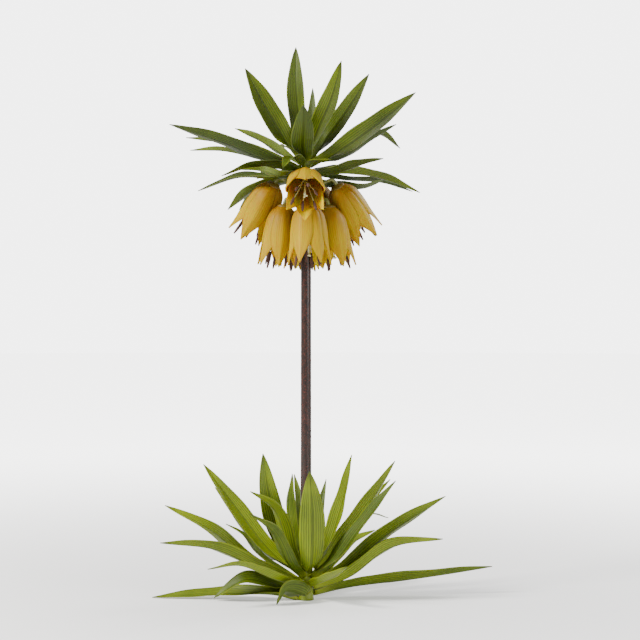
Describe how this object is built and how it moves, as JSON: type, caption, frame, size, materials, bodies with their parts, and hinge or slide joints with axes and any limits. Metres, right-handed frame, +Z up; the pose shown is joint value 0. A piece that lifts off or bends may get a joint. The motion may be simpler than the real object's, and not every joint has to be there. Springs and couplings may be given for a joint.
{
  "type": "crown imperial fritillary",
  "caption": "Crown imperial fritillary with hanging yellow bells under a tuft of leaves, on a bare dark stem over a rosette of broad leaves.",
  "frame": {"origin": "centre of the flat cut under the stem, on the surface it stands on", "axes": "+Z up along the stem; -Y is the front, where one bell faces out"},
  "size_m": [0.4031, 0.2427, 0.648],
  "materials": {
    "stem_skin": "smooth, dark mottled brown over green, slightly glossy",
    "tuft_leaf": "satin, mid green with fine lengthwise veins",
    "rosette_leaf": "satin, yellow green with broad lengthwise veins",
    "petal": "satin yellow, shaded ochre at the top",
    "stamen": "matt dark maroon anthers on pale filaments"
  },
  "bodies": {
    "root": {"basal_leaf_01": "rosette_leaf", "basal_leaf_02": "rosette_leaf", "basal_leaf_03": "rosette_leaf", "basal_leaf_04": "rosette_leaf", "basal_leaf_05": "rosette_leaf", "basal_leaf_06": "rosette_leaf", "basal_leaf_07": "rosette_leaf", "basal_leaf_08": "rosette_leaf", "basal_leaf_09": "rosette_leaf", "basal_leaf_10": "rosette_leaf", "basal_leaf_11": "rosette_leaf", "basal_leaf_12": "rosette_leaf", "basal_leaf_13": "rosette_leaf", "basal_leaf_14": "rosette_leaf", "basal_leaf_15": "rosette_leaf", "basal_leaf_16": "rosette_leaf", "basal_leaf_17": "rosette_leaf", "basal_leaf_18": "rosette_leaf", "basal_leaf_19": "rosette_leaf", "basal_leaf_20": "rosette_leaf", "basal_leaf_21": "rosette_leaf", "basal_leaf_22": "rosette_leaf", "basal_leaf_23": "rosette_leaf", "bell_1": "petal", "bell_2": "petal", "bell_3": "petal", "bell_4": "petal", "bell_5": "petal", "bell_6": "petal", "bell_7": "petal", "bell_8": "petal", "crown_leaf_01": "tuft_leaf", "crown_leaf_02": "tuft_leaf", "crown_leaf_03": "tuft_leaf", "crown_leaf_04": "tuft_leaf", "crown_leaf_05": "tuft_leaf", "crown_leaf_06": "tuft_leaf", "crown_leaf_07": "tuft_leaf", "crown_leaf_08": "tuft_leaf", "crown_leaf_09": "tuft_leaf", "crown_leaf_10": "tuft_leaf", "crown_leaf_11": "tuft_leaf", "crown_leaf_12": "tuft_leaf", "crown_leaf_13": "tuft_leaf", "crown_leaf_14": "tuft_leaf", "crown_leaf_15": "tuft_leaf", "crown_leaf_16": "tuft_leaf", "crown_leaf_17": "tuft_leaf", "crown_leaf_18": "tuft_leaf", "crown_leaf_19": "tuft_leaf", "crown_leaf_20": "tuft_leaf", "stamens_1": "stamen", "stamens_2": "stamen", "stamens_3": "stamen", "stamens_4": "stamen", "stamens_5": "stamen", "stamens_6": "stamen", "stamens_7": "stamen", "stamens_8": "stamen", "stem": "stem_skin"}
  },
  "joints": []
}
